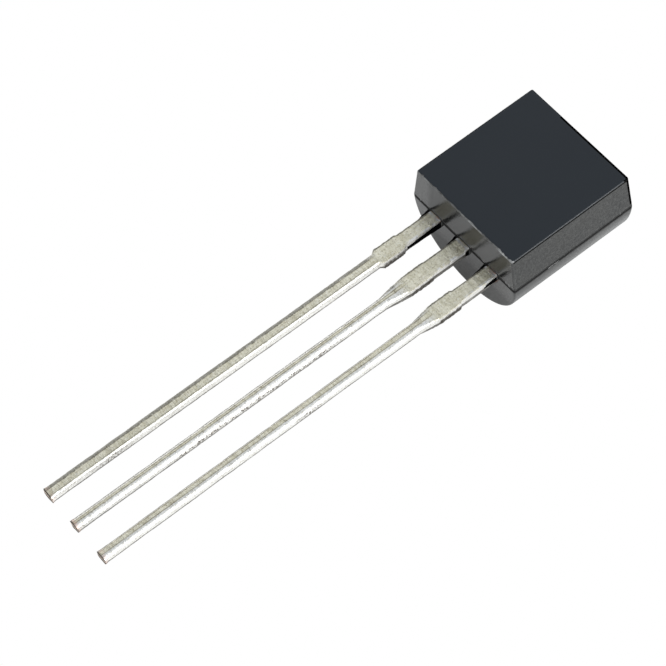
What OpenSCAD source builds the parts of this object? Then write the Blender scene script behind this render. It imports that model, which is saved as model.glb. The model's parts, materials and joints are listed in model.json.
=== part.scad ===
// Three-lead transistor in a small moulded half-round package.
// It lies on its round back and its lead tips, flat face up.
// Row frame: X across the leads, +Y along the leads towards the body, +Z up.
// Each piece is drawn on the lead plane first, then laid in its rest pose.

/* [Moulded body] */
// Width of the body across the leads, at the parting line
body_w = 4.58; // [4.2:0.01:5.2]
// Height of the body along the leads, at the parting line
body_h = 4.56; // [4.2:0.01:5.2]
// Width of the flat front face
face_w = 4.22; // [3.8:0.01:4.8]
// Distance from the parting plane to the flat front face
front_d = 1.33; // [1.0:0.01:1.6]
// Distance from the parting plane to the lowest line of the round back
back_d = 2.29; // [1.8:0.01:2.5]
// Draft angle of both end faces, each way from the parting line, in degrees
end_draft = 2.5; // [1:0.1:4]
// Corner radius at the end away from the leads
top_corner_r = 0.12; // [0.05:0.01:0.4]
// Corner radius at the lead end
low_corner_r = 0.06; // [0.02:0.01:0.1]

/* [Parting line] */
// Height of the fine groove where the two mould halves met
seam_h = 0.06; // [0.02:0.01:0.1]
// Depth of that groove
seam_d = 0.03; // [0.01:0.01:0.06]

/* [Resin flash] */
// Width of the thin resin strip left on a lead's left edge
flash_w = 0.05; // [0.03:0.01:0.1]
// Width of the thinner smear left on a right edge
flash_right_w = 0.02; // [0.01:0.01:0.06]
// Length of the strip on each lead's left edge
flash_l = 0.62; // [0.3:0.01:1.0]
// Length of the smear on the right edge of the left lead
flash_right_l = 0.9; // [0.3:0.01:1.1]
// Length of the smear on the right edge of the middle lead
flash_stub_l = 0.14; // [0.08:0.01:0.5]

/* [Leads] */
// Spacing of the leads, centre to centre
lead_pitch = 1.27; // [1.2:0.01:1.4]
// Length of the leads outside the body
lead_l = 14.15; // [12.7:0.05:16.0]
// Thickness of the lead strip
lead_t = 0.36; // [0.33:0.01:0.51]
// Width of the long leg of each lead
leg_w = 0.39; // [0.34:0.01:0.5]
// Rounding of the long leg's edges
leg_r = 0.07; // [0.03:0.01:0.12]
// Width of the outer leads where they leave the body
neck_w = 0.46; // [0.38:0.01:0.55]
// Width of the middle lead where it leaves the body
mid_neck_w = 0.51; // [0.4:0.01:0.6]
// Distance from the body to the sheared tie-bar stubs
stub_y = 1.35; // [1.0:0.05:1.6]
// Length of each stub along the lead
stub_l = 0.8; // [0.4:0.05:1.0]
// Width of a lead across its two stubs
stub_w = 0.56; // [0.5:0.01:0.7]
// Length of the taper from the stubs to the leg
taper_l = 0.12; // [0.1:0.01:0.4]

/* [Leadframe inside the body] */
// Width of the bond post on each outer lead
post_w = 0.86; // [0.6:0.01:1.1]
// Length of each bond post
post_l = 0.8; // [0.6:0.01:1.0]
// Distance from the lead end of the body to each bond post
post_y = 1.0; // [0.8:0.05:1.3]
// Diameter of the resin lock hole in each bond post
lock_d = 0.24; // [0.15:0.01:0.3]
// Distance of the lock hole from the post's near end
lock_in = 0.3; // [0.25:0.01:0.35]
// Width of the die paddle on the middle lead
paddle_w = 1.7; // [1.3:0.01:2.2]
// Length of the die paddle
paddle_l = 1.25; // [1.0:0.01:1.5]
// Distance from the lead end of the body to the die paddle
paddle_y = 2.35; // [2.1:0.05:2.6]

/* [Die] */
// Side of the square silicon die
die_s = 0.5; // [0.3:0.01:0.8]
// Thickness of the die
die_h = 0.2; // [0.12:0.01:0.3]
// Thickness of the die attach layer
attach_h = 0.03; // [0.02:0.01:0.05]
// How far the die attach spreads past the die on each side
attach_spread = 0.04; // [0.02:0.01:0.1]

/* [Bond wires] */
// Diameter of each bond wire
wire_d = 0.05; // [0.03:0.005:0.08]
// Rise of each wire's loop above its chord
wire_rise = 0.4; // [0.25:0.01:0.6]
// Diameter of the ball bond on the die
ball_d = 0.12; // [0.08:0.01:0.16]
// Height of the ball bond and of the stitch bond
bond_h = 0.04; // [0.03:0.01:0.06]
// Distance of each ball bond from the die's centre line
bond_x = 0.12; // [0.08:0.01:0.2]
// Distance of each stitch bond from its post's far end
bond_in = 0.16; // [0.1:0.01:0.2]

/* [Hidden] */
$fn = 48;
// A cutter runs past what it cuts by this much
clear = 1;
// A shape runs this far into the one that it joins
join = 0.1;
// What the draft takes off each end at the flat face and at the back
face_draft = (front_d - seam_h / 2) * tan(end_draft);
back_draft = (back_d - seam_h / 2) * tan(end_draft);
// Rest pose: the back's lead-end edge and the lead tips lie on one level
tilt = atan((back_d - lead_t) / (lead_l + back_draft));
lift = back_d * cos(tilt) - back_draft * sin(tilt);
y_high = (body_h - back_draft) * cos(tilt) + back_d * sin(tilt);
y_low = -lead_l * cos(tilt);
shift_y = -(y_high + y_low) / 2;
// One arc through both parting edges and the lowest line of the back
back_r = (body_w * body_w / 4 + back_d * back_d) / (2 * back_d);
back_z = back_r - back_d;
mid_y = body_h / 2;
taper_y = -(stub_y + stub_l);
leg_y = taper_y - taper_l;
post_bond_y = post_y + post_l - bond_in;
lock_y = post_y + lock_in;
post_bond_x = lead_pitch - post_w / 4;
die_y = paddle_y + paddle_l / 2;
die_z = attach_h + die_h;
attach_s = die_s + 2 * attach_spread;
// One bond's two ends, on the die and on the right-hand post
wire_x = post_bond_x - bond_x;
wire_y = post_bond_y - die_y;
wire_run = sqrt(wire_x * wire_x + wire_y * wire_y);
wire_turn = atan2(wire_y, wire_x);
wire_drop = atan2(-die_z, wire_run);
wire_chord = sqrt(wire_run * wire_run + die_z * die_z);
wire_r = (wire_chord * wire_chord / 4 + wire_rise * wire_rise) / (2 * wire_rise);
wire_half = asin(wire_chord / 2 / wire_r);

// Lays a piece drawn on the lead plane in its rest pose
module laid() {
  translate([0, shift_y, lift])
    rotate([tilt, 0, 0])
      children();
}

// Outline across the leads: drafted front, groove and round back
module cross_outline() {
  polygon([
    [-body_w / 2, seam_h / 2], [body_w / 2, seam_h / 2],
    [face_w / 2, front_d], [-face_w / 2, front_d]
  ]);
  translate([seam_d - body_w / 2, -seam_h])
    square([body_w - 2 * seam_d, 2 * seam_h]);
  intersection() {
    translate([0, back_z])
      circle(r = back_r, $fn = 96);
    translate([-body_w, -seam_h / 2 - 2 * back_d])
      square([2 * body_w, 2 * back_d]);
  }
}

// Outline seen from the side: both ends drafted each way from the groove
module side_outline() {
  polygon([[0, seam_h / 2], [body_h, seam_h / 2], [body_h - face_draft, front_d], [face_draft, front_d]]);
  translate([seam_d, -seam_h])
    square([body_h - 2 * seam_d, 2 * seam_h]);
  polygon([[0, -seam_h / 2], [body_h, -seam_h / 2], [body_h - back_draft, -back_d], [back_draft, -back_d]]);
}

// Outline seen from the front, with its rounded corners
module front_outline() {
  translate([-body_w / 2, top_corner_r])
    square([body_w, body_h - 2 * top_corner_r]);
  translate([top_corner_r - body_w / 2, mid_y])
    square([body_w - 2 * top_corner_r, body_h - mid_y]);
  translate([low_corner_r - body_w / 2, 0])
    square([body_w - 2 * low_corner_r, mid_y]);
  for (side = [-1, 1]) {
    translate([side * (body_w / 2 - top_corner_r), body_h - top_corner_r])
      circle(r = top_corner_r);
    translate([side * (body_w / 2 - low_corner_r), low_corner_r])
      circle(r = low_corner_r);
    translate([side * (body_w / 2 - top_corner_r) - top_corner_r, low_corner_r])
      square([2 * top_corner_r, mid_y]);
  }
}

module body_form() {
  intersection() {
    translate([0, body_h + clear, 0])
      rotate([90, 0, 0])
        linear_extrude(height = body_h + 2 * clear)
          cross_outline();
    translate([-body_w, 0, 0])
      rotate([90, 0, 90])
        linear_extrude(height = 2 * body_w)
          side_outline();
    translate([0, 0, -back_d - clear])
      linear_extrude(height = front_d + back_d + 2 * clear)
        front_outline();
  }
}

// A resin strip on one edge of a lead, from inside the body outwards
module flash_strip(x, w, len) {
  translate([x, -len, -lead_t])
    cube([w, len + post_y / 2, lead_t]);
}

module flash_strips() {
  flash_strip(-lead_pitch - neck_w / 2 - flash_w, flash_w, flash_l);
  flash_strip(-mid_neck_w / 2 - flash_w, flash_w, flash_l);
  flash_strip(lead_pitch - neck_w / 2 - flash_w, flash_w, flash_l);
  flash_strip(-lead_pitch + neck_w / 2, flash_right_w, flash_right_l);
  flash_strip(mid_neck_w / 2, flash_right_w, flash_stub_l);
}

// Neck, tie-bar stubs and taper of a lead, as cut from the strip
module neck_outline(w) {
  translate([-w / 2, taper_y])
    square([w, post_y - taper_y + join]);
  translate([-stub_w / 2, taper_y])
    square([stub_w, stub_l]);
  polygon([[-leg_w / 2, leg_y], [leg_w / 2, leg_y], [stub_w / 2, taper_y], [-stub_w / 2, taper_y]]);
}

// Section of the long leg, lying under the lead plane
module leg_section() {
  translate([-leg_w / 2, leg_r - lead_t])
    square([leg_w, lead_t - 2 * leg_r]);
  translate([leg_r - leg_w / 2, -lead_t])
    square([leg_w - 2 * leg_r, lead_t]);
  for (side = [-1, 1]) {
    translate([side * (leg_w / 2 - leg_r), -leg_r])
      circle(r = leg_r);
    translate([side * (leg_w / 2 - leg_r), leg_r - lead_t])
      circle(r = leg_r);
  }
}

module leg() {
  translate([0, leg_y, 0])
    rotate([90, 0, 0])
      linear_extrude(height = lead_l + leg_y)
        leg_section();
}

// An outer lead with its bond post, on its own centre line
module outer_lead() {
  leg();
  translate([0, 0, -lead_t])
    linear_extrude(height = lead_t)
      difference() {
        union() {
          neck_outline(neck_w);
          translate([-post_w / 2, post_y])
            square([post_w, post_l]);
        }
        translate([0, lock_y])
          circle(d = lock_d);
      }
}

// The middle lead with the paddle that carries the die
module middle_lead() {
  leg();
  translate([0, 0, -lead_t])
    linear_extrude(height = lead_t) {
      neck_outline(mid_neck_w);
      translate([-mid_neck_w / 2, 0])
        square([mid_neck_w, paddle_y + join]);
      translate([-paddle_w / 2, paddle_y])
        square([paddle_w, paddle_l]);
    }
}

module attach_form() {
  translate([-attach_s / 2, die_y - attach_s / 2, 0])
    cube([attach_s, attach_s, attach_h]);
}

module die_form() {
  translate([-die_s / 2, die_y - die_s / 2, attach_h])
    cube([die_s, die_s, die_h]);
}

// The right-hand wire: ball bond on the die, loop, stitch bond on the post
module wire_form() {
  translate([bond_x, die_y, die_z])
    cylinder(d = ball_d, h = bond_h);
  translate([post_bond_x, post_bond_y, 0])
    cylinder(d = ball_d, h = bond_h);
  translate([bond_x, die_y, die_z + bond_h / 2])
    rotate([0, -wire_drop, wire_turn])
      translate([wire_chord / 2, 0, wire_rise - wire_r])
        rotate([90, 0, 0])
          rotate([0, 0, 90 - wire_half])
            rotate_extrude(angle = 2 * wire_half, $fn = 180)
              translate([wire_r, 0])
                circle(d = wire_d, $fn = 24);
}

module inside_forms() {
  translate([-lead_pitch, 0, 0])
    outer_lead();
  middle_lead();
  translate([lead_pitch, 0, 0])
    outer_lead();
  attach_form();
  die_form();
  wire_form();
  mirror([1, 0, 0])
    wire_form();
}

module moulded_body() {
  color([0.16, 0.17, 0.18])
    laid()
      difference() {
        union() {
          body_form();
          flash_strips();
        }
        inside_forms();
      }
}

module emitter_lead() {
  color([0.76, 0.75, 0.7])
    laid()
      translate([-lead_pitch, 0, 0])
        outer_lead();
}

module collector_lead() {
  color([0.76, 0.75, 0.7])
    laid()
      middle_lead();
}

module base_lead() {
  color([0.76, 0.75, 0.7])
    laid()
      translate([lead_pitch, 0, 0])
        outer_lead();
}

module die_attach() {
  color([0.6, 0.6, 0.62])
    laid()
      attach_form();
}

module silicon_die() {
  color([0.3, 0.32, 0.36])
    laid()
      die_form();
}

module emitter_wire() {
  color([0.85, 0.68, 0.3])
    laid()
      mirror([1, 0, 0])
        wire_form();
}

module base_wire() {
  color([0.85, 0.68, 0.3])
    laid()
      wire_form();
}

moulded_body();
emitter_lead();
collector_lead();
base_lead();
die_attach();
silicon_die();
emitter_wire();
base_wire();
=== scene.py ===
import json
import math
import bmesh
import bpy
from mathutils import Euler, Matrix, Vector, noise


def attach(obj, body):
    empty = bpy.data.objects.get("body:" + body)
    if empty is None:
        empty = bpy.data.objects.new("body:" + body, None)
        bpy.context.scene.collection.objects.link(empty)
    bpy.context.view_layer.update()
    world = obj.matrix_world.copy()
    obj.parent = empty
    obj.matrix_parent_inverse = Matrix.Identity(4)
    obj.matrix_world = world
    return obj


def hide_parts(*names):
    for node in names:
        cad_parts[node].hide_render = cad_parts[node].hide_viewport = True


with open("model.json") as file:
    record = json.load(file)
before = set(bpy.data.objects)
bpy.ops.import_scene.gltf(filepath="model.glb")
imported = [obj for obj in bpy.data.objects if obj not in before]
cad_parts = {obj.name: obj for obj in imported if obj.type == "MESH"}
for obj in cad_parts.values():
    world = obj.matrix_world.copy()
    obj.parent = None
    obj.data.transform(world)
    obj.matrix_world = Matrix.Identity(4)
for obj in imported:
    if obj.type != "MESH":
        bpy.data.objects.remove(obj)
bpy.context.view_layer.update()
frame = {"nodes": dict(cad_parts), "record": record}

MM = 0.001

# Sizes of the transistor in millimetres, as in the part's source, apart from
# a slightly wider flat face and a tighter far corner
BODY_W, BODY_H, FACE_W = 4.58, 4.56, 4.25
FRONT_D, BACK_D = 1.33, 2.29
END_DRAFT = math.radians(2.5)
TOP_CORNER, LOW_CORNER = 0.055, 0.06
SEAM_H, SEAM_D = 0.06, 0.03
LEAD_PITCH, LEAD_L, LEAD_T, LEG_W = 1.27, 14.15, 0.36, 0.39
NECK_W, MID_NECK_W = 0.46, 0.51
STUB_Y, STUB_L, STUB_W, TAPER_L = 1.35, 0.8, 0.56, 0.12
POST_Y, POST_L, POST_W, LOCK_D, LOCK_IN = 1.0, 0.8, 0.86, 0.24, 0.3
PADDLE_Y, PADDLE_L, PADDLE_W = 2.35, 1.25, 1.7
FLASH_W, FLASH_L = 0.05, 0.62
FLASH_RIGHT_W, FLASH_RIGHT_L, FLASH_STUB_L = 0.02, 0.9, 0.14

# Radius of the soft edge round the flat face, and the least radius of an end corner
FACE_EDGE, LEAST_R = 0.035, 0.004
# Rows of faces round that edge, down the front's sides and round the back
EDGE_ROWS, FRONT_ROWS, BACK_ROWS = 6, 10, 44
# Faces across and along the flat face
ACROSS, ALONG = 96, 96
# Rings along a lead and along a strip of flash
LEAD_RINGS, FLASH_RINGS = 760, 70

BACK_R = (BODY_W ** 2 / 4 + BACK_D ** 2) / (2 * BACK_D)
BACK_Z = BACK_R - BACK_D
STUB_END = STUB_Y + STUB_L

# The part lies tilted on its round back: the front face's mount tells how.
# LAID takes a place in millimetres, x across the leads, y along them into the body
# and z toward the flat face, with z = 0 on the leads' front, to its place in metres.
MOUNTS = {m["name"]: m for m in frame["record"]["mounts"]}
FACE_POS = Vector(MOUNTS["front_face"]["pos_m"])
FACE_AXIS = Vector(MOUNTS["front_face"]["axis"])
TILT = math.atan2(-FACE_AXIS.y, FACE_AXIS.z)
LAID = (
    Matrix.Translation(FACE_POS)
    @ Matrix.Rotation(TILT, 4, "X")
    @ Matrix.Scale(MM, 4)
    @ Matrix.Translation((0, -BODY_H / 2, -FRONT_D))
)

# ---------------------------------------------------------------- helpers


def link(obj):
    bpy.context.scene.collection.objects.link(obj)
    return obj


def mesh_object(name, bm):
    me = bpy.data.meshes.new(name)
    bm.to_mesh(me)
    bm.free()
    return link(bpy.data.objects.new(name, me))


def plain_mesh(obj):
    """Swaps an object's modifiers for the mesh that they make."""
    dg = bpy.context.evaluated_depsgraph_get()
    me = bpy.data.meshes.new_from_object(obj.evaluated_get(dg), depsgraph=dg)
    obj.modifiers.clear()
    obj.data = me
    return obj


def cut(obj, tool, how="DIFFERENCE"):
    """Cuts the tool out of a closed shape, or joins it on."""
    mod = obj.modifiers.new("cut", "BOOLEAN")
    mod.operation = how
    mod.solver = "MANIFOLD"
    mod.object = tool
    return plain_mesh(obj)


def closed_copy(obj):
    """A copy of a CAD node with its loose triangles joined, to cut with."""
    bm = bmesh.new()
    bm.from_mesh(obj.data)
    bmesh.ops.remove_doubles(bm, verts=bm.verts, dist=1e-8)
    return mesh_object(obj.name + "_copy", bm)


def drop_crumbs(obj, least):
    """Removes loose bits whose box is under this many cubic millimetres."""
    bm = bmesh.new()
    bm.from_mesh(obj.data)
    left = set(bm.faces)
    crumbs = []
    while left:
        part = [left.pop()]
        for f in part:
            for e in f.edges:
                near = [g for g in e.link_faces if g in left]
                left.difference_update(near)
                part.extend(near)
        verts = {v for f in part for v in f.verts}
        size = [max(v.co[i] for v in verts) - min(v.co[i] for v in verts) for i in range(3)]
        if size[0] * size[1] * size[2] < least * MM ** 3:
            crumbs.extend(verts)
    bmesh.ops.delete(bm, geom=crumbs, context="VERTS")
    bm.to_mesh(obj.data)
    bm.free()


def drop(*objs):
    for o in objs:
        bpy.data.objects.remove(o)


def soft_edges(obj, angle):
    """Shades smooth all but the edges sharper than this many degrees."""
    for p in obj.data.polygons:
        p.use_smooth = True
    obj.data.set_sharp_from_angle(angle=math.radians(angle))


def wave(x, y, seed):
    """Smooth noise on both sides of 0."""
    return noise.noise(Vector((x, y, seed)))


def rise(v, lo, hi):
    """0 below lo, 1 above hi, straight between."""
    return min(max((v - lo) / (hi - lo), 0.0), 1.0)


def bell(v, middle, width):
    """1 at the middle, falling off smoothly on both sides."""
    return math.exp(-((v - middle) / width) ** 2)


def mark(me, name, values):
    """Stores one number for each vertex, for the finishes to read."""
    me.attributes.new(name, "FLOAT", "POINT")
    me.attributes[name].data.foreach_set("value", values)


def on_lead_plane(obj):
    """Each vertex in millimetres on the lead plane, before it is laid down."""
    back = LAID.inverted()
    return [back @ v.co for v in obj.data.vertices]


# ---------------------------------------------------------------- materials


class Finish:
    """A node material, with short ways to add what every finish here needs."""

    def __init__(self, name):
        self.mat = bpy.data.materials.new(name)
        self.mat.use_nodes = True
        self.nt = self.mat.node_tree
        self.bsdf = next(n for n in self.nt.nodes if n.type == "BSDF_PRINCIPLED")
        coords = self.nt.nodes.new("ShaderNodeTexCoord")
        turn = self.nt.nodes.new("ShaderNodeMapping")
        turn.vector_type = "TEXTURE"
        turn.inputs["Location"].default_value = LAID.translation
        turn.inputs["Rotation"].default_value = (TILT, 0, 0)
        turn.inputs["Scale"].default_value = (MM, MM, MM)
        self.nt.links.new(coords.outputs["Object"], turn.inputs["Vector"])
        self.place = turn.outputs["Vector"]

    def node(self, kind, **settings):
        n = self.nt.nodes.new(kind)
        for k, v in settings.items():
            setattr(n, k, v)
        return n

    def wire(self, a, b):
        self.nt.links.new(a, b)

    def noise(self, scale, detail=3.0, rough=0.5, stretch=(1, 1, 1), shift=0.0):
        """Noise over the part, in millimetres on the lead plane."""
        m = self.node("ShaderNodeMapping")
        m.inputs["Scale"].default_value = stretch
        m.inputs["Location"].default_value = (shift, shift * 0.7, shift * 0.3)
        self.wire(self.place, m.inputs["Vector"])
        n = self.node("ShaderNodeTexNoise")
        n.inputs["Scale"].default_value = scale
        n.inputs["Detail"].default_value = detail
        n.inputs["Roughness"].default_value = rough
        self.wire(m.outputs["Vector"], n.inputs["Vector"])
        return n.outputs["Fac"]

    def ramp(self, fac, lo, hi, a=0.0, b=1.0):
        n = self.node("ShaderNodeMapRange")
        n.clamp = True
        self.wire(fac, n.inputs["Value"])
        n.inputs["From Min"].default_value = lo
        n.inputs["From Max"].default_value = hi
        n.inputs["To Min"].default_value = a
        n.inputs["To Max"].default_value = b
        return n.outputs["Result"]

    def blend(self, fac, a, b):
        n = self.node("ShaderNodeMix", data_type="RGBA")
        for sock, v in ((n.inputs[6], a), (n.inputs[7], b)):
            if isinstance(v, tuple):
                sock.default_value = (*v, 1)
            else:
                self.wire(v, sock)
        self.wire(fac, n.inputs[0])
        return n.outputs[2]

    def maths(self, op, a, b=None):
        n = self.node("ShaderNodeMath", operation=op)
        for sock, v in zip(n.inputs, (a, b)):
            if isinstance(v, (int, float)):
                sock.default_value = v
            elif v is not None:
                self.wire(v, sock)
        return n.outputs[0]

    def times(self, *values):
        out = values[0]
        for v in values[1:]:
            out = self.maths("MULTIPLY", out, v)
        return out

    def along(self, axis):
        """How far along X, Y or Z of the lead plane's own frame, in millimetres."""
        n = self.node("ShaderNodeSeparateXYZ")
        self.wire(self.place, n.inputs[0])
        return n.outputs[axis]

    def height(self):
        """Millimetres above the lead plane."""
        return self.along("Z")

    def attribute(self, name):
        return self.node("ShaderNodeAttribute", attribute_name=name).outputs["Fac"]

    def bump(self, height, strength, distance, normal=None):
        n = self.node("ShaderNodeBump")
        n.inputs["Strength"].default_value = strength
        n.inputs["Distance"].default_value = distance
        self.wire(height, n.inputs["Height"])
        if normal is not None:
            self.wire(normal, n.inputs["Normal"])
        return n.outputs["Normal"]

    def set(self, name, value):
        if isinstance(value, tuple):
            self.bsdf.inputs[name].default_value = (*value, 1)
        elif isinstance(value, (int, float)):
            self.bsdf.inputs[name].default_value = value
        else:
            self.wire(value, self.bsdf.inputs[name])


def resin_finish():
    """Moulding compound as the tool left it: near black, glossy at a low angle, fine grained."""
    f = Finish("moulding_compound")
    grain = f.noise(22, 2, 0.6)
    cloud = f.noise(1.1, 3, 0.55, shift=4)
    fine = f.noise(15, 4, 0.7, shift=9)
    base = f.blend(f.ramp(cloud, 0.35, 0.7), (0.004, 0.0045, 0.005), (0.012, 0.012, 0.011))
    # the lead end is smoother than the sides, and painted lighter toward its left as a painted reflection
    end = f.ramp(f.along("Y"), 0.12, 0.04)
    grainy = f.times(f.ramp(fine, 0.38, 0.7), f.maths("SUBTRACT", 1.0, f.times(end, 0.4)))
    base = f.blend(grainy, base, (0.05, 0.051, 0.0495))
    # painted reflection: the end face's base colour is lighter toward its left
    painted_left_reflection = f.times(f.ramp(f.along("X"), -1.45, -1.7), end)
    base = f.blend(f.times(painted_left_reflection, f.ramp(fine, 0.3, 0.6, 0.6, 1.0)), base, (0.085, 0.085, 0.084))
    # painted highlight, partly real wear: the edges are lighter in broken dashes
    dash = f.ramp(f.noise(7, 3, 0.6, shift=2), 0.4, 0.6, 0.45, 1.0)
    base = f.blend(f.times(f.attribute("wear_and_highlight"), dash), base, (0.5, 0.51, 0.51))
    # painted shade: the parting groove is darkened to near black
    groove = f.times(f.attribute("seam"), f.ramp(f.noise(5, 3, 0.7, shift=6), 0.34, 0.46, 0.85, 1.0))
    base = f.blend(groove, base, (0.001, 0.001, 0.001))
    f.set("Base Color", base)
    rough = f.maths("SUBTRACT", f.ramp(grain, 0.3, 0.7, 0.1, 0.19), f.times(end, 0.04))
    # the round back is duller
    rough = f.maths("ADD", rough, f.ramp(f.height(), -0.45, -1.05, 0.0, 0.26))
    rough = f.maths("ADD", rough, f.times(f.attribute("wear_and_highlight"), 0.35))
    rough = f.maths("ADD", rough, f.times(groove, 0.75))
    f.set("Roughness", rough)
    f.set("IOR", 1.5)
    n = f.bump(fine, 0.8, 0.000005)
    f.set("Normal", f.bump(f.noise(2.6, 2, 0.5, shift=7), 0.2, 0.00001, n))
    return f.mat


def flat_finish():
    """The flat front face: an even, smooth, slightly blue black."""
    f = Finish("moulding_compound_flat")
    cloud = f.noise(0.8, 2, 0.5, shift=3)
    tone = f.ramp(cloud, 0.35, 0.65)
    f.set("Base Color", f.blend(tone, (0.0025, 0.0066, 0.0120), (0.0029, 0.0071, 0.0126)))
    f.set("Roughness", f.ramp(f.noise(18, 2, 0.5), 0.3, 0.7, 0.38, 0.44))
    f.set("IOR", 1.5)
    f.set("Normal", f.bump(f.noise(12, 2, 0.5, shift=1), 0.2, 0.000002))
    return f.mat


def painted_shade_rim_finish():
    """Matt black resin with no reflection, along edges and on strips: painted shade."""
    f = Finish("moulding_compound_painted_shade_rim")
    tone = f.ramp(f.noise(9, 3, 0.6), 0.4, 0.6)
    f.set("Base Color", f.blend(tone, (0.001, 0.001, 0.001), (0.004, 0.004, 0.004)))
    f.set("Roughness", 1.0)
    f.set("Specular IOR Level", 0.0)
    return f.mat


def tin_finish(name, left_shade, flat_from, flat_to, left_line, low_z):
    """Uneven warm tin on one lead.

    Places across the lead run from -1 at its left side to 1 at its right. The face is flat
    and warm between flat_from and flat_to, and the whiter tone beyond is partly a painted highlight;
    left of it the edge is darkened by left_shade as painted shade and ends in a grey painted shade
    line at left_line, and below low_z the sides are darker, also painted shade.
    """
    f = Finish(name)
    across = f.attribute("across")
    patch = f.noise(2.2, 3, 0.6, stretch=(0.6, 1.6, 1), shift=3)
    streak = f.noise(13, 4, 0.6, stretch=(1, 0.12, 1))
    fleck = f.noise(17, 3, 0.75, shift=8)
    cross = f.noise(5, 3, 0.65, stretch=(0.5, 1.2, 1), shift=11)
    leg = f.ramp(f.along("Y"), -STUB_END, -STUB_END - 0.4)
    # on the leg only a stripe stays flat and warm, the tin's own tone; the whiter tone elsewhere is partly
    # a painted highlight on the rounded sides
    stripe = f.times(
        f.ramp(across, flat_from - 0.16, flat_from - 0.04),
        f.ramp(across, flat_to + 0.16, flat_to + 0.04),
    )
    on_top = f.ramp(f.height(), -0.06, -0.02)
    front = f.times(on_top, f.maths("MAXIMUM", stripe, f.maths("SUBTRACT", 1.0, leg)))
    base = f.blend(f.ramp(patch, 0.4, 0.6), (0.9, 0.89, 0.85), (0.95, 0.94, 0.91))
    face = f.blend(f.ramp(cross, 0.4, 0.6), (0.77, 0.73, 0.56), (0.97, 0.93, 0.76))
    face = f.blend(f.ramp(streak, 0.5, 0.68, 0, 0.5), face, (0.56, 0.51, 0.4))
    base = f.blend(front, base, face)
    base = f.blend(f.ramp(fleck, 0.55, 0.64, 0, 0.65), base, (0.4, 0.35, 0.25))
    base = f.blend(f.ramp(fleck, 0.42, 0.33, 0, 0.8), base, (1.0, 0.99, 0.95))
    # painted shade: a dark line runs where the front meets each rounded edge
    right = f.times(f.ramp(across, flat_to - 0.1, flat_to), f.ramp(across, flat_to + 0.12, flat_to))
    left = f.times(f.ramp(across, flat_from - 0.12, flat_from), f.ramp(across, flat_from + 0.1, flat_from))
    crease_shade_paint = f.times(leg, f.maths("MAXIMUM", right, left), f.ramp(streak, 0.35, 0.55, 0.4, 0.95))
    base = f.blend(crease_shade_paint, base, (0.22, 0.195, 0.145))
    # painted shade: the left edge is darkened on the leg, and ends in a thin grey painted shade line there
    # and on the neck
    edge = f.maths("ADD", across, f.ramp(f.noise(7, 4, 0.7, shift=17), 0.3, 0.7, -0.2, 0.2))
    neck_line = f.times(f.ramp(across, -0.74, -0.82), f.ramp(leg, 0.0, 1.0, 1.0, 0.0))
    leg_line = f.times(f.ramp(across, left_line, left_line - 0.08), leg, 0.75)
    line = f.times(f.maths("MAXIMUM", neck_line, leg_line), f.ramp(fleck, 0.35, 0.6, 0.6, 0.95))
    base = f.blend(line, base, (0.13, 0.12, 0.095))
    beside = f.ramp(edge, flat_from + 0.04, flat_from - 0.04)
    left_edge_shade = f.times(leg, beside, left_shade, f.ramp(fleck, 0.3, 0.6, 0.75, 1.0))
    base = f.blend(left_edge_shade, base, (0.24, 0.225, 0.18))
    # painted shade: below low_z the sides are darker
    low = f.ramp(f.height(), low_z, low_z - 0.02)
    under = f.times(low, f.ramp(f.noise(6, 3, 0.6, stretch=(1, 0.4, 1), shift=5), 0.3, 0.55, 0.65, 1.0))
    base = f.blend(under, base, (0.16, 0.15, 0.135))
    pits = f.times(f.attribute("pitted"), f.ramp(f.noise(15, 2, 0.65, shift=12), 0.47, 0.57))
    base = f.blend(pits, base, (0.26, 0.24, 0.22))
    copper = f.times(f.attribute("copper"), f.ramp(f.noise(9, 3, 0.6, shift=5), 0.4, 0.58))
    base = f.blend(copper, base, (0.78, 0.5, 0.4))
    # painted highlight: near white where the root and right edge are marked
    base = f.blend(f.attribute("painted_highlight"), base, (1.0, 1.0, 0.98))
    dark = f.times(f.attribute("sheared"), f.ramp(f.noise(11, 3, 0.7, shift=14), 0.3, 0.6, 0.5, 1.0))
    base = f.blend(dark, base, (0.05, 0.04, 0.03))
    f.set("Base Color", base)
    f.set("Metallic", 0.8)
    rough = f.ramp(patch, 0.35, 0.65, 0.26, 0.36)
    f.set("Roughness", f.maths("ADD", rough, f.ramp(streak, 0.4, 0.7, 0.0, 0.12)))
    n = f.bump(fleck, 0.7, 0.000012)
    n = f.bump(cross, 0.8, 0.00003, n)
    f.set("Normal", n)
    return f.mat


def cut_finish():
    """Sheared copper at the lead's end: dark brown, with a brighter band across its middle."""
    f = Finish("sheared_copper")
    up = f.height()
    patchy = f.ramp(f.noise(9, 3, 0.6), 0.35, 0.5)
    middle = f.times(f.ramp(up, -0.12, -0.16), f.ramp(up, -0.27, -0.22), patchy)
    f.set("Base Color", f.blend(middle, (0.045, 0.03, 0.02), (0.7, 0.58, 0.48)))
    f.set("Metallic", 0.9)
    f.set("Roughness", f.ramp(f.noise(20, 2, 0.6, shift=2), 0.3, 0.7, 0.45, 0.65))
    f.set("Normal", f.bump(f.noise(18, 3, 0.6, stretch=(1, 1, 0.2), shift=1), 0.6, 0.00001))
    return f.mat


def plain_finish(name, a, b, metallic, lo, hi, scale):
    """A finish for a piece sealed inside the body."""
    f = Finish(name)
    n = f.noise(scale, 3, 0.6)
    f.set("Base Color", f.blend(f.ramp(n, 0.35, 0.65), a, b))
    f.set("Metallic", metallic)
    f.set("Roughness", f.ramp(n, 0.3, 0.7, lo, hi))
    f.set("Normal", f.bump(n, 0.3, 0.000004))
    return f.mat


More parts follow.
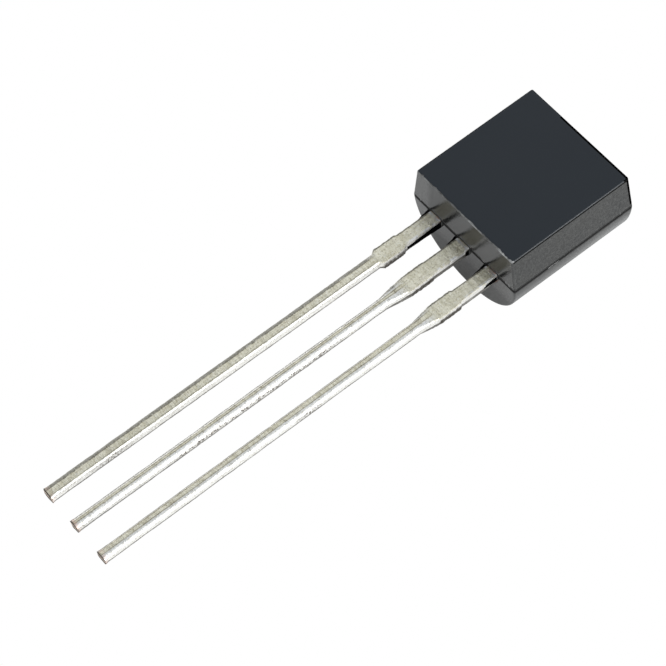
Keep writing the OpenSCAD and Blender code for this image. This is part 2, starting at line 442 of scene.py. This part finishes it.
RESIN = resin_finish()
FLAT = flat_finish()
RIM = painted_shade_rim_finish()
CUT = cut_finish()
SILVER_EPOXY = plain_finish("silver_epoxy", (0.42, 0.42, 0.43), (0.58, 0.58, 0.6), 0.6, 0.45, 0.6, 20)
SILICON = plain_finish("silicon", (0.1, 0.11, 0.14), (0.16, 0.17, 0.21), 0.4, 0.15, 0.3, 14)
GOLD = plain_finish("gold_wire", (0.86, 0.6, 0.2), (0.95, 0.7, 0.3), 1.0, 0.2, 0.3, 30)

# ---------------------------------------------------------------- node trees


class Tree:
    """A geometry node tree with named inputs for its sizes."""

    def __init__(self, name):
        self.tree = bpy.data.node_groups.new(name, "GeometryNodeTree")
        self.tree.interface.new_socket("Geometry", in_out="OUTPUT", socket_type="NodeSocketGeometry")
        self.given = self.tree.nodes.new("NodeGroupInput")
        self.made = self.tree.nodes.new("NodeGroupOutput")

    def size(self, name, default, kind="NodeSocketFloat"):
        s = self.tree.interface.new_socket(name, in_out="INPUT", socket_type=kind)
        if default is not None:
            s.default_value = default
        return self.given.outputs[name]

    def node(self, kind, **settings):
        n = self.tree.nodes.new(kind)
        for k, v in settings.items():
            setattr(n, k, v)
        return n

    def wire(self, a, b):
        self.tree.links.new(a, b)

    def feed(self, sock, v):
        if isinstance(v, bpy.types.NodeSocket):
            self.wire(v, sock)
        else:
            sock.default_value = v

    def maths(self, op, a, b=None):
        n = self.node("ShaderNodeMath", operation=op)
        for sock, v in zip(n.inputs, (a, b)):
            if v is not None:
                self.feed(sock, v)
        return n.outputs[0]

    def add(self, *values):
        out = values[0]
        for v in values[1:]:
            out = self.maths("ADD", out, v)
        return out

    def times(self, *values):
        out = values[0]
        for v in values[1:]:
            out = self.maths("MULTIPLY", out, v)
        return out

    def less(self, a, b):
        return self.maths("SUBTRACT", a, b)

    def rise(self, y, lo, hi):
        """0 below lo, 1 above hi, straight between."""
        n = self.node("ShaderNodeMapRange")
        n.clamp = True
        self.feed(n.inputs["Value"], y)
        self.feed(n.inputs["From Min"], lo)
        self.feed(n.inputs["From Max"], hi)
        n.inputs["To Min"].default_value = 0
        n.inputs["To Max"].default_value = 1
        return n.outputs["Result"]

    def clamp(self, v, lo, hi):
        return self.maths("MINIMUM", self.maths("MAXIMUM", v, lo), hi)

    def grain(self, place, scale, detail, seed):
        """Noise from about -0.5 to 0.5."""
        n = self.node("ShaderNodeTexNoise", noise_dimensions="4D")
        self.feed(n.inputs["Vector"], place)
        self.feed(n.inputs["W"], seed)
        n.inputs["Scale"].default_value = scale
        n.inputs["Detail"].default_value = detail
        return self.less(n.outputs["Fac"], 0.5)

    def position(self):
        place = self.node("GeometryNodeInputPosition").outputs[0]
        n = self.node("ShaderNodeSeparateXYZ")
        self.wire(place, n.inputs[0])
        return place, n.outputs

    def join(self, x, y, z):
        n = self.node("ShaderNodeCombineXYZ")
        for s, v in zip(n.inputs, (x, y, z)):
            self.feed(s, v)
        return n.outputs[0]

    def sweep(self, start, end, rings, width, thick, round_r):
        """A rounded rectangle swept along the lead's own line, with closed ends."""
        line = self.node("GeometryNodeCurvePrimitiveLine")
        self.wire(self.join(0, start, 0), line.inputs["Start"])
        self.wire(self.join(0, end, 0), line.inputs["End"])
        path = self.node("GeometryNodeResampleCurve")
        self.wire(line.outputs[0], path.inputs["Curve"])
        path.inputs["Count"].default_value = rings
        box = self.node("GeometryNodeCurvePrimitiveQuadrilateral", mode="RECTANGLE")
        self.feed(box.inputs["Width"], width)
        self.feed(box.inputs["Height"], thick)
        rounded = self.node("GeometryNodeFilletCurve", mode="POLY")
        self.wire(box.outputs[0], rounded.inputs["Curve"])
        self.feed(rounded.inputs["Radius"], round_r)
        rounded.inputs["Count"].default_value = 5
        dense = self.node("GeometryNodeSubdivideCurve")
        self.wire(rounded.outputs[0], dense.inputs["Curve"])
        dense.inputs["Cuts"].default_value = 1
        swept = self.node("GeometryNodeCurveToMesh")
        self.wire(path.outputs[0], swept.inputs["Curve"])
        self.wire(dense.outputs[0], swept.inputs["Profile Curve"])
        swept.inputs["Fill Caps"].default_value = True
        return swept.outputs[0]

    def shift(self, geometry, x, y, z):
        move = self.node("GeometryNodeSetPosition")
        self.wire(geometry, move.inputs["Geometry"])
        self.wire(self.join(x, y, z), move.inputs["Offset"])
        return move.outputs[0]

    def finish(self, geometry, material, *others):
        """Ends the tree: instances made real, then a finish all over and others on a choice of faces."""
        real = self.node("GeometryNodeRealizeInstances")
        self.wire(geometry, real.inputs[0])
        out = real.outputs[0]
        for where, mat in ((None, material), *others):
            paint = self.node("GeometryNodeSetMaterial")
            self.wire(out, paint.inputs["Geometry"])
            if where is not None:
                self.wire(where, paint.inputs["Selection"])
            self.wire(mat, paint.inputs["Material"])
            out = paint.outputs[0]
        self.wire(out, self.made.inputs[0])


def grow(name, tree, place, **sizes):
    """Runs a tree with these sizes and keeps the plain mesh, laid in place."""
    obj = link(bpy.data.objects.new(name, bpy.data.meshes.new(name)))
    mod = obj.modifiers.new(name, "NODES")
    mod.node_group = tree.tree
    ids = {s.name: s.identifier for s in tree.tree.interface.items_tree if s.in_out == "INPUT"}
    for k, v in sizes.items():
        mod[ids[k.replace("_", " ")]] = v
    plain_mesh(obj)
    obj.data.transform(LAID @ place)
    return obj


def lead_tree():
    """A lead swept along its own line; its width follows where it is along the lead."""
    t = Tree("swept_lead")
    length = t.size("Length", LEAD_L)
    inside = t.size("Inside", POST_Y + POST_L)
    thick = t.size("Thickness", LEAD_T)
    leg_w = t.size("Leg Width", LEG_W)
    round_r = t.size("Rounding", 0.07)
    neck_w = t.size("Neck Width", NECK_W)
    stub_y = t.size("Stub Start", STUB_Y)
    stub_end = t.size("Stub End", STUB_END)
    stub_w = t.size("Stub Width", STUB_W)
    taper_l = t.size("Taper Length", TAPER_L)
    post_y = t.size("Post Start", POST_Y)
    post_w = t.size("Post Width", POST_W)
    seed = t.size("Seed", 1.0)
    tin = t.size("Finish", None, "NodeSocketMaterial")
    bare = t.size("Cut Finish", None, "NodeSocketMaterial")

    swept = t.sweep(inside, t.times(length, -1), LEAD_RINGS, leg_w, thick, round_r)
    place, (x, y, z) = t.position()
    out = t.times(y, -1)
    # how far each side stands out from the leg's own side
    neck = t.times(t.less(neck_w, leg_w), 0.5)
    stub = t.times(t.less(stub_w, leg_w), 0.5)
    post = t.times(t.less(post_w, leg_w), 0.5)
    on_leg = t.rise(out, stub_end, t.add(stub_end, taper_l))
    on_stub = t.times(t.rise(out, t.less(stub_y, 0.03), t.add(stub_y, 0.04)), t.less(1, on_leg))
    on_post = t.rise(y, t.less(post_y, 0.02), post_y)
    spread = t.add(t.times(neck, t.less(1, on_leg)), t.times(t.less(stub, neck), on_stub))
    spread = t.add(spread, t.times(t.less(post, neck), on_post))
    # the stub's sheared face is ragged, and the plating waves slowly
    rag = t.times(t.grain(place, 12, 3, seed), on_stub, 0.06)
    slow = t.times(t.maths("ABSOLUTE", t.grain(place, 1.3, 2, t.add(seed, 7))), -0.05)
    fine = t.times(t.maths("ABSOLUTE", t.grain(place, 10, 2, t.add(seed, 5))), -0.03)
    spread = t.add(spread, rag, slow, fine)
    flat_half = t.less(t.times(leg_w, 0.5), round_r)
    side = t.clamp(t.maths("DIVIDE", x, flat_half), -1, 1)
    # the formed part near the body keeps squarer corners than the leg
    square = t.add(1, t.times(t.less(1, on_leg), 0.4))

    def squarer(v, flat):
        over = t.maths("MAXIMUM", t.less(t.maths("ABSOLUTE", v), flat), 0)
        more = t.less(t.maths("MINIMUM", t.times(over, square), round_r), over)
        return t.times(t.maths("SIGN", v), more)

    # dimples and scrapes pull the broad faces in a little
    dent = t.times(t.maths("ABSOLUTE", t.grain(place, 5, 3, t.add(seed, 3))), 0.035)
    dent = t.times(t.maths("SIGN", z), dent, -1)
    # the cut end is not quite square
    tip = t.rise(out, t.less(length, 0.05), length)
    skew = t.times(tip, t.add(0.02, t.times(t.grain(place, 6, 2, t.add(seed, 9)), 0.06)))
    flare = t.rise(out, t.less(length, 0.14), t.less(length, 0.02))
    burr = t.times(flare, t.add(0.014, t.times(t.grain(place, 7, 2, seed), 0.03)))
    spread = t.add(spread, burr)
    wide = t.add(t.times(side, spread), squarer(x, flat_half))
    deep = t.add(dent, squarer(z, t.less(t.times(thick, 0.5), round_r)), t.times(thick, -0.5))
    made = t.shift(swept, wide, skew, deep)
    _, (_, end_y, _) = t.position()
    cap = t.maths("LESS_THAN", end_y, t.add(t.times(length, -1), 0.03))
    face = t.node("GeometryNodeInputNormal").outputs[0]
    n = t.node("ShaderNodeSeparateXYZ")
    t.wire(face, n.inputs[0])
    cap = t.times(cap, t.maths("LESS_THAN", n.outputs["Y"], -0.7))
    t.finish(made, tin, (cap, bare))
    return t


def smear_tree():
    """A thin ragged strip of resin along a lead's edge."""
    t = Tree("resin_smear")
    start = t.size("Start", 0.2)
    length = t.size("Length", FLASH_L)
    width = t.size("Width", FLASH_W)
    tall = t.size("Height", LEAD_T)
    slim = t.size("End Share", 0.4)
    seed = t.size("Seed", 1.0)
    resin = t.size("Finish", None, "NodeSocketMaterial")
    swept = t.sweep(start, t.times(length, -1), FLASH_RINGS, width, tall, t.times(width, 0.25))
    _, (x, y, z) = t.position()
    along = t.rise(y, t.times(length, -1), 0)
    rag = t.grain(t.join(0, y, z), 9, 3, seed)
    keep = t.add(slim, t.times(along, t.less(1, slim)), t.times(rag, 0.5))
    keep = t.clamp(keep, 0.15, 1)
    # the side against the lead stays straight, the other is ragged
    free = t.times(t.less(keep, 1), t.add(x, t.times(width, 0.5)))
    droop = t.times(z, t.less(1, along), -0.4)
    t.finish(t.shift(swept, free, 0, droop), resin)
    return t


# ---------------------------------------------------------------- the leads

LEAD = lead_tree()
SMEAR = smear_tree()

# No two leads are alike: each has its own leg width, taper below the stub, rounding
# and wear. look holds what tin_finish takes, from left_shade to low_z.
POST = dict(neck=NECK_W, pad_y=POST_Y, pad_l=POST_L, pad_w=POST_W)
PADDLE = dict(neck=MID_NECK_W, pad_y=PADDLE_Y, pad_l=PADDLE_L, pad_w=PADDLE_W)
LEAD_LIST = {
    "emitter_lead": dict(
        x=-LEAD_PITCH, leg=0.41, taper=TAPER_L, rounding=0.08, seed=3.1,
        look=(0.9, -0.36, 0.62, -0.74, -0.23), **POST,
    ),
    "collector_lead": dict(
        x=0.0, leg=0.38, taper=0.9, rounding=0.155, seed=11.7,
        look=(0.1, -0.28, 0.06, -0.54, -0.165), **PADDLE,
    ),
    "base_lead": dict(
        x=LEAD_PITCH, leg=0.38, taper=0.7, rounding=0.12, seed=23.4,
        look=(0.3, -0.5, 0.12, -0.66, -0.2), **POST,
    ),
}
# the stretch of each lead where the tin is pitted
PITTED = {"emitter_lead": (-12.9, -11.2), "collector_lead": (-11, -4.6), "base_lead": (-7.6, -6.2)}


def half_width(y, s):
    """Half a lead's width at this place along it."""
    leg = rise(-y, STUB_END, STUB_END + s["taper"])
    stub = rise(-y, STUB_Y - 0.03, STUB_Y + 0.04) * (1 - leg)
    w = s["leg"] * leg + s["neck"] * (1 - leg)
    return (w + (STUB_W - s["neck"]) * stub) / 2


def lock_hole(x):
    """The hole that locks a bond post into the resin."""
    bm = bmesh.new()
    bmesh.ops.create_cone(bm, cap_ends=True, segments=48, radius1=LOCK_D / 2, radius2=LOCK_D / 2, depth=1)
    bm.transform(LAID @ Matrix.Translation((x, POST_Y + LOCK_IN, -LEAD_T / 2)))
    return mesh_object("lock_hole", bm)


def paint_lead(obj, s, pits):
    """Marks where the tin is bare, pitted or sheared, and where a highlight is painted on it."""
    wear = {"across": [], "copper": [], "sheared": [], "pitted": [], "painted_highlight": []}
    seed = s["seed"]
    for p in on_lead_plane(obj):
        x, half = p.x - s["x"], half_width(p.y, s)
        out = -p.y
        wear["across"].append(min(max(x / half, -1), 1))
        # copper shows at the root and near the cut end
        root = rise(p.y, -0.13, -0.03) * rise(wave(p.x * 5, p.y * 5, seed), -0.35, 0.1)
        end = 0.7 * rise(out, LEAD_L - 0.2, LEAD_L)
        wear["copper"].append(max(root, end))
        # the stub's sides and the lip of the cut end are sheared
        in_stub = rise(out, STUB_Y - 0.02, STUB_Y + 0.03) * rise(p.y, -STUB_END - 0.03, -STUB_END)
        ragged = 0.07 * wave(p.y * 9, x * 9, seed + 2)
        deep = rise(-p.z, 0.12 + ragged, 0.16 + ragged)
        stub = in_stub * deep * rise(abs(x), half - 0.07, half - 0.04)
        lip = rise(out, LEAD_L - 0.045, LEAD_L - 0.02) * rise(wave(p.x * 4, p.z * 4, seed), -0.6, -0.2)
        wear["sheared"].append(max(stub, lip))
        on_right = rise(x, 0.03, 0.1) * rise(-p.z, 0.01, 0.08)
        run = rise(p.y, pits[0], pits[0] + 0.6) * rise(out, -pits[1], -pits[1] + 0.6)
        wear["pitted"].append(on_right * run)
        # painted highlight round the root and along the right edge near the body
        root_line = rise(p.y, -0.12, -0.08) * rise(out, 0.015, 0.03)
        edge_line = rise(x, half - 0.07, half - 0.04) * rise(p.y, -1.3, -1.1)
        broken = rise(wave(p.x * 7, p.y * 7, seed + 4), -0.25, 0.0)
        wear["painted_highlight"].append(min(root_line + edge_line, 1) * broken if p.z > -0.06 else 0.0)
    for name, values in wear.items():
        mark(obj.data, name, values)


leads = {}
for node_name, s in LEAD_LIST.items():
    tin = tin_finish(node_name + "_tin", *s["look"])
    lead = grow(
        node_name + "_plated", LEAD, Matrix.Translation((s["x"], 0, 0)),
        Inside=s["pad_y"] + s["pad_l"], Neck_Width=s["neck"],
        Post_Start=s["pad_y"], Post_Width=s["pad_w"],
        Leg_Width=s["leg"], Rounding=s["rounding"], Taper_Length=s["taper"],
        Seed=s["seed"], Finish=tin, Cut_Finish=CUT,
    )
    # a hole locks each outer lead's post
    if s["x"]:
        hole = lock_hole(s["x"])
        cut(lead, hole)
        drop(hole)
    leads[node_name] = lead

# ---------------------------------------------------------------- the body

# material slots of the body
BODY_SLOT, FLAT_SLOT, RIM_SLOT = 0, 1, 2
# where the soft edge round the flat face begins, and where its right, lead-end
# and far-end stretches meet
EDGE_Z = FRONT_D - FACE_EDGE
RIGHT_EDGE_X, LEAD_END_Y, FAR_END_Y = FACE_W / 2 - 0.06, 0.15, BODY_H - 0.25
# depths below that edge: the strip on the right painted matt black as a shade line, and the last of
# the rows that lie close together
RIM_TOP, RIM_LOW, CLOSE_LOW = 0.01, 0.06, 0.07
# length of the strip painted matt black as shade on the right side's far corner, and how near the side it
# lies
FAR_STRIP, SIDE_SKIN = 0.1, 0.025
# painted highlight and wear of an edge that is only a little rubbed
FAINT = 0.14


def end_round(depth, r):
    """How far an end face is pulled in at this depth under the side surface."""
    if depth >= r:
        return 0.0
    return r - math.sqrt(max(r * r - (r - depth) ** 2, 0.0))


def body_levels():
    """Level, how far it is pulled in and kind, from the flat face down to the back's lowest line."""
    levels = []
    for i in range(EDGE_ROWS, -1, -1):
        a = math.radians(90 * i / EDGE_ROWS)
        levels.append((FRONT_D - FACE_EDGE * (1 - math.sin(a)), FACE_EDGE * (1 - math.cos(a)), "face"))
    for dz in (RIM_TOP, RIM_LOW, CLOSE_LOW):
        levels.append((EDGE_Z - dz, 0.0, "front"))
    h = SEAM_H / 2
    for i in range(1, FRONT_ROWS):
        k = i / FRONT_ROWS
        levels.append(((EDGE_Z - CLOSE_LOW) * (1 - k) + h * k, 0.0, "front"))
    # the parting groove's rounded profile, as height and depth
    half_groove = ((1, 0), (0.85, 0.5), (0.5, 0.92))
    groove = [*half_groove, (0, 1), *((-z, d) for z, d in reversed(half_groove))]
    for z, d in groove:
        levels.append((z * h, d * SEAM_D, "seam"))
    start = math.acos((BACK_Z + h) / BACK_R)
    for i in range(1, BACK_ROWS + 1):
        a = start * (1 - i / BACK_ROWS)
        levels.append((BACK_Z - BACK_R * math.cos(a), 0.0, "back"))
    return levels


def seam_drift(x, y):
    """How far the parting line strays up or down here."""
    drift = 0.012 * wave(x * 2.4, y * 2.4, 3.3) + 0.014 * wave(x * 0.6, y * 0.6, 8.1)
    return drift + 0.007 * wave(x * 7, y * 7, 1.9)


def level_ring(bm, z, inset, kind):
    """One level's points along the lead end, right side, far end and left side."""
    if z >= 0:
        k = max(z - SEAM_H / 2, 0) / (FRONT_D - SEAM_H / 2)
        half = BODY_W / 2 + (FACE_W - BODY_W) / 2 * k
    else:
        half = math.sqrt(max(BACK_R ** 2 - (z - BACK_Z) ** 2, 0))
    half = max(half - inset, 0.0)
    draft = max(abs(z) - SEAM_H / 2, 0) * math.tan(END_DRAFT)
    low, high = draft + inset, BODY_H - draft - inset
    r_low, r_high = max(LOW_CORNER - inset, LEAST_R), max(TOP_CORNER - inset, LEAST_R)

    def depth(x):
        if kind == "back":
            return BACK_R - math.hypot(x, z - BACK_Z)
        return half - abs(x)

    def vert(x, y, nick=0.0):
        dz = 0.0
        if kind == "seam":
            dz = seam_drift(x, y) * (1 - abs(z) / SEAM_H * 0.5)
        return bm.verts.new((x, y + nick, z + dz))

    def chip(x):
        """Nicks along the flat face's edge at the lead end."""
        if kind != "face" or z < FRONT_D - FACE_EDGE * 0.5:
            return 0.0
        return 0.045 * max(wave(x * 4, 1.7, 4.2), 0) + 0.05 * max(wave(x * 12, 5.1, 2.2), 0)

    xs = [half * math.sin(math.pi / 2 * (2 * i / ACROSS - 1)) for i in range(ACROSS + 1)]
    ys = [low + r_low + (high - r_high - low - r_low) * j / ALONG for j in range(ALONG + 1)]
    south = [vert(x, low + end_round(depth(x), r_low), chip(x)) for x in xs]
    east = [vert(half, y) for y in ys[1:-1]]
    north = [vert(x, high - end_round(depth(x), r_high)) for x in reversed(xs)]
    west = [vert(-half, y) for y in reversed(ys[1:-1])]
    return south, east, north, west


def body_shell():
    """The whole moulding's outside, as rings of faces closed by the flat face."""
    bm = bmesh.new()
    levels = [level_ring(bm, *level) for level in body_levels()]
    rings = [south + east + north + west for south, east, north, west in levels]
    for a, b in zip(rings, rings[1:]):
        n = len(a)
        for i in range(n):
            bm.faces.new((a[i], b[i], b[(i + 1) % n], a[(i + 1) % n]))
    # the flat face, filled between its two end rows
    south, east, north, west = levels[0]
    rows = [south]
    for j in range(ALONG - 1):
        k = (j + 1) / ALONG
        row = [west[ALONG - 2 - j]]
        for i in range(1, ACROSS):
            s, n = south[i].co, north[ACROSS - i].co
            row.append(bm.verts.new((s.x, s.y + (n.y - s.y) * k, s.z)))
        row.append(east[j])
        rows.append(row)
    rows.append(list(reversed(north)))
    for a, b in zip(rows, rows[1:]):
        for i in range(ACROSS):
            bm.faces.new((a[i], a[i + 1], b[i + 1], b[i]))
    bmesh.ops.remove_doubles(bm, verts=bm.verts, dist=1e-6)
    bmesh.ops.dissolve_degenerate(bm, edges=bm.edges, dist=1e-7)
    bmesh.ops.recalc_face_normals(bm, faces=bm.faces)
    bm.transform(LAID)
    return mesh_object("moulded_body_shell", bm)


body = body_shell()

LEFT, RIGHT = -1, 1
# the strips start wider than in the part's source, because making their free side
# ragged takes some away
WIDE_LEFT, WIDE_RIGHT, LONG_RIGHT = 2.1 * FLASH_W, 1.5 * FLASH_RIGHT_W, 1.4 * FLASH_RIGHT_L
# resin left on the leads where it ran out between the mould halves:
# edge, way out, width, top, bottom, length, share left at the end, seed
SMEARS = [
    (-LEAD_PITCH - NECK_W / 2, LEFT, WIDE_LEFT, -0.01, -LEAD_T, FLASH_L, 0.35, 2.0),
    (-MID_NECK_W / 2, LEFT, WIDE_LEFT, -0.01, -LEAD_T, FLASH_L, 0.3, 5.0),
    (LEAD_PITCH - NECK_W / 2, LEFT, WIDE_LEFT, -0.01, -LEAD_T, FLASH_L, 0.3, 9.0),
    (-LEAD_PITCH + NECK_W / 2, RIGHT, WIDE_RIGHT, -0.1, -LEAD_T, LONG_RIGHT, 0.4, 14.0),
    (MID_NECK_W / 2, RIGHT, FLASH_RIGHT_W, -0.06, -LEAD_T, FLASH_STUB_L, 0.6, 21.0),
    (LEAD_PITCH + NECK_W / 2, RIGHT, FLASH_RIGHT_W, -0.1, -0.27, 0.75, 0.2, 27.0),
]
# each smear runs this far into its lead's side before the lead is cut out of it
OVER = 0.03
for edge, way, width, top, bottom, length, slim, seed in SMEARS:
    w = width + OVER
    place = Matrix.Translation((edge + way * (w / 2 - OVER), 0, (top + bottom) / 2))
    strip = grow(
        "flash", SMEAR, place @ Matrix.Diagonal((way, 1, 1, 1)),
        Length=length, Width=w, Height=top - bottom, End_Share=slim, Seed=seed, Finish=RESIN,
    )
    if way == LEFT:
        strip.data.flip_normals()
    cut(body, strip, "UNION")
    drop(strip)

# the body closes round its leads and what they carry
SEALED = ("die_attach", "silicon_die", "emitter_wire", "base_wire")
for tool in leads.values():
    cut(body, tool)
for node_name in SEALED:
    tool = closed_copy(frame["nodes"][node_name])
    cut(body, tool)
    drop(tool)
# the cuts leave a sliver with no thickness, far below this size
CRUMB = 0.0005
drop_crumbs(body, CRUMB)
body.name = "resin_body"


def far_corner(p):
    """Whether this place is on the right side's last strip before the far end."""
    depth = p.z - SEAM_H / 2
    half = BODY_W / 2 + (FACE_W - BODY_W) / 2 * depth / (FRONT_D - SEAM_H / 2)
    return p.y > BODY_H - depth * math.tan(END_DRAFT) - FAR_STRIP and p.x > half - SIDE_SKIN


def edge_wear_and_highlight(p):
    """How much painted highlight and rubbing the resin gets here: in dashes along the lead end's upper
    edge, faintly elsewhere.
    """
    on_edge = -0.002 < p.z - EDGE_Z < FACE_EDGE - 0.004
    if on_edge and p.y < LEAD_END_Y:
        bare = max(bell(p.x, 0.3, 0.34), bell(p.x, 1.8, 0.36))
        broken = 0.45 + 0.55 * rise(wave(p.x * 6, 0.4, 7.7), -0.15, 0.1)
        dashes = FAINT + bare * broken + 0.3 * wave(p.x * 9, 0.4, 5.7)
        return min(max(dashes, 0.05), 1.0)
    if on_edge and p.x > RIGHT_EDGE_X:
        return FAINT
    # painted highlight along the parting groove's lower lip
    if -SEAM_H < p.z - seam_drift(p.x, p.y) < -SEAM_H / 2 - 0.002:
        return 0.12
    return 0.05 if p.x > 1.9 and p.y < 0.1 else 0.0


def in_groove(p):
    """Whether this place is in the parting groove, on the outside of the body, where shade is painted."""
    outside = max(abs(p.x) - BODY_W / 2, -p.y, p.y - BODY_H) > -SEAM_D - 0.02
    near = abs(p.z - seam_drift(p.x, p.y)) / (SEAM_H / 2)
    return outside and near < 1.05 and p.y > -0.02


def body_slot(p):
    """Which finish a face of the body has, by the place of its middle."""
    if p.z > FRONT_D - 0.001 and not (p.y > BODY_H - 0.14 and p.x > -0.8):
        return FLAT_SLOT
    # painted shade: a matt black strip on the right side's far corner
    if p.z > 0.2 and far_corner(p):
        return RIM_SLOT
    if p.z > EDGE_Z - 0.001:
        far, left = p.y > FAR_END_Y, p.x < -RIGHT_EDGE_X
        if p.x > RIGHT_EDGE_X and LEAD_END_Y < p.y < FAR_END_Y:
            return FLAT_SLOT
        # painted shade: the rounding along the far and left edges is matt black
        if far or (left and p.y > LEAD_END_Y):
            return RIM_SLOT
    # the flash strips on the leads are real resin, made matt black as painted shade of the gap beside each
    # lead
    if p.y < -0.02:
        return RIM_SLOT
    # painted shade: a matt black line below the right edge
    if EDGE_Z - RIM_LOW < p.z < EDGE_Z - RIM_TOP and p.x > FACE_W / 2 - 0.1 and p.y > 0.1:
        return RIM_SLOT
    return BODY_SLOT


def paint_body(obj):
    """Marks where edges get painted highlight and wear, and the parting groove where shade is painted, and
    sorts the faces by finish.
    """
    me = obj.data
    spots = on_lead_plane(obj)
    mark(me, "wear_and_highlight", [edge_wear_and_highlight(p) for p in spots])
    mark(me, "seam", [1.0 if in_groove(p) else 0.0 for p in spots])
    me.materials.clear()
    for mat in (RESIN, FLAT, RIM):
        me.materials.append(mat)
    for f in me.polygons:
        f.material_index = body_slot(sum((spots[i] for i in f.vertices), Vector()) / len(f.vertices))


paint_body(body)
soft_edges(body, 35)
for name, o in leads.items():
    paint_lead(o, LEAD_LIST[name], PITTED[name])
    soft_edges(o, 40)

# ---------------------------------------------------------------- finishes on the carried-over pieces

for node_name, mat in zip(SEALED, (SILVER_EPOXY, SILICON, GOLD, GOLD)):
    o = frame["nodes"][node_name]
    o.data.materials.clear()
    o.data.materials.append(mat)

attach(body, "root")
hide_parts("moulded_body")
for node_name, o in leads.items():
    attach(o, "root")
    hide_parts(node_name)

# ---------------------------------------------------------------- floor, light, camera


def floor():
    """A pale floor: plain white to look at, and softly lit in what reflects it."""
    bm = bmesh.new()
    bmesh.ops.create_grid(bm, x_segments=1, y_segments=1, size=0.6)
    o = mesh_object("studio_floor", bm)
    f = Finish("pale_floor")
    f.set("Base Color", (0.82, 0.82, 0.81))
    f.set("Roughness", 1.0)
    f.set("Specular IOR Level", 0.0)
    seen = f.node("ShaderNodeLightPath")
    # a little light comes up through the floor, more under the leads and less to their right
    f.set("Emission Color", (1, 1, 1))
    under_leads = f.ramp(f.along("Y"), -0.5, -4, 0.2, 0.32)
    to_right = f.ramp(f.along("X"), -1, 2.5, 1.0, 0.35)
    f.set("Emission Strength", f.times(under_leads, to_right))
    white = f.node("ShaderNodeEmission")
    white.inputs["Color"].default_value = (1, 1, 1, 1)
    white.inputs["Strength"].default_value = 1.0
    mix = f.node("ShaderNodeMixShader")
    f.wire(seen.outputs["Is Camera Ray"], mix.inputs[0])
    f.wire(f.bsdf.outputs[0], mix.inputs[1])
    f.wire(white.outputs[0], mix.inputs[2])
    out = next(n for n in f.nt.nodes if n.type == "OUTPUT_MATERIAL")
    f.wire(mix.outputs[0], out.inputs["Surface"])
    o.data.materials.append(f.mat)


def sky():
    """Soft surroundings: bright low down, dimmer overhead."""
    w = bpy.data.worlds.new("soft_room")
    bpy.context.scene.world = w
    w.use_nodes = True
    nt = w.node_tree
    bg = nt.nodes["Background"]
    tc = nt.nodes.new("ShaderNodeTexCoord")
    sep = nt.nodes.new("ShaderNodeSeparateXYZ")
    ramp = nt.nodes.new("ShaderNodeValToRGB")
    nt.links.new(tc.outputs["Generated"], sep.inputs[0])
    nt.links.new(sep.outputs["Z"], ramp.inputs[0])
    stops = ramp.color_ramp.elements
    stops[0].position, stops[0].color = 0.0, (1.0, 1.0, 0.99, 1)
    stops[1].position, stops[1].color = 0.95, (0.46, 0.49, 0.52, 1)
    stops.new(0.45).color = (0.86, 0.87, 0.88, 1)
    nt.links.new(ramp.outputs[0], bg.inputs["Color"])
    # one darker patch of ceiling, over the lead end's left
    dot = nt.nodes.new("ShaderNodeVectorMath")
    dot.operation = "DOT_PRODUCT"
    nt.links.new(tc.outputs["Generated"], dot.inputs[0])
    dot.inputs[1].default_value = (-0.44, -0.42, 0.795)
    dim = nt.nodes.new("ShaderNodeMapRange")
    nt.links.new(dot.outputs["Value"], dim.inputs["Value"])
    for sock, v in (("From Min", 0.88), ("From Max", 0.97), ("To Min", 1.15), ("To Max", 0.22)):
        dim.inputs[sock].default_value = v
    nt.links.new(dim.outputs["Result"], bg.inputs["Strength"])


def softbox(name, pos, aim, size, power):
    """A square lamp at a place, turned to face another; metres and watts."""
    light = bpy.data.lights.new(name, "AREA")
    light.shape = "SQUARE"
    light.size = size
    light.energy = power
    o = link(bpy.data.objects.new(name, light))
    o.location = pos
    o.rotation_mode = "QUATERNION"
    o.rotation_quaternion = (Vector(aim) - Vector(pos)).to_track_quat("-Z", "Y")


def view():
    """A long lens above the leads and to their right, placed in the lead plane's own frame."""
    data = bpy.data.cameras.new("camera")
    data.sensor_width = 36
    data.lens = 148.0
    data.clip_start = 0.005
    data.clip_end = 3
    cam = link(bpy.data.objects.new("camera", data))
    cam.location = LAID @ Vector((34.48, -26.84, 67.1))
    turn = Euler([math.radians(a) for a in (31.219, 3.78, 51.288)]).to_matrix()
    cam.rotation_mode = "QUATERNION"
    cam.rotation_quaternion = (Matrix.Rotation(TILT, 3, "X") @ turn).to_quaternion()
    bpy.context.scene.camera = cam


floor()
sky()
softbox("side_softbox", (0.16, 0.06, 0.075), (0, 0.004, 0.002), 0.06, 0.2)
softbox("top_softbox", (0.125, 0.047, 0.26), (0, -0.004, 0.002), 0.1, 0.045)
bpy.context.scene.view_settings.view_transform = "Standard"
view()
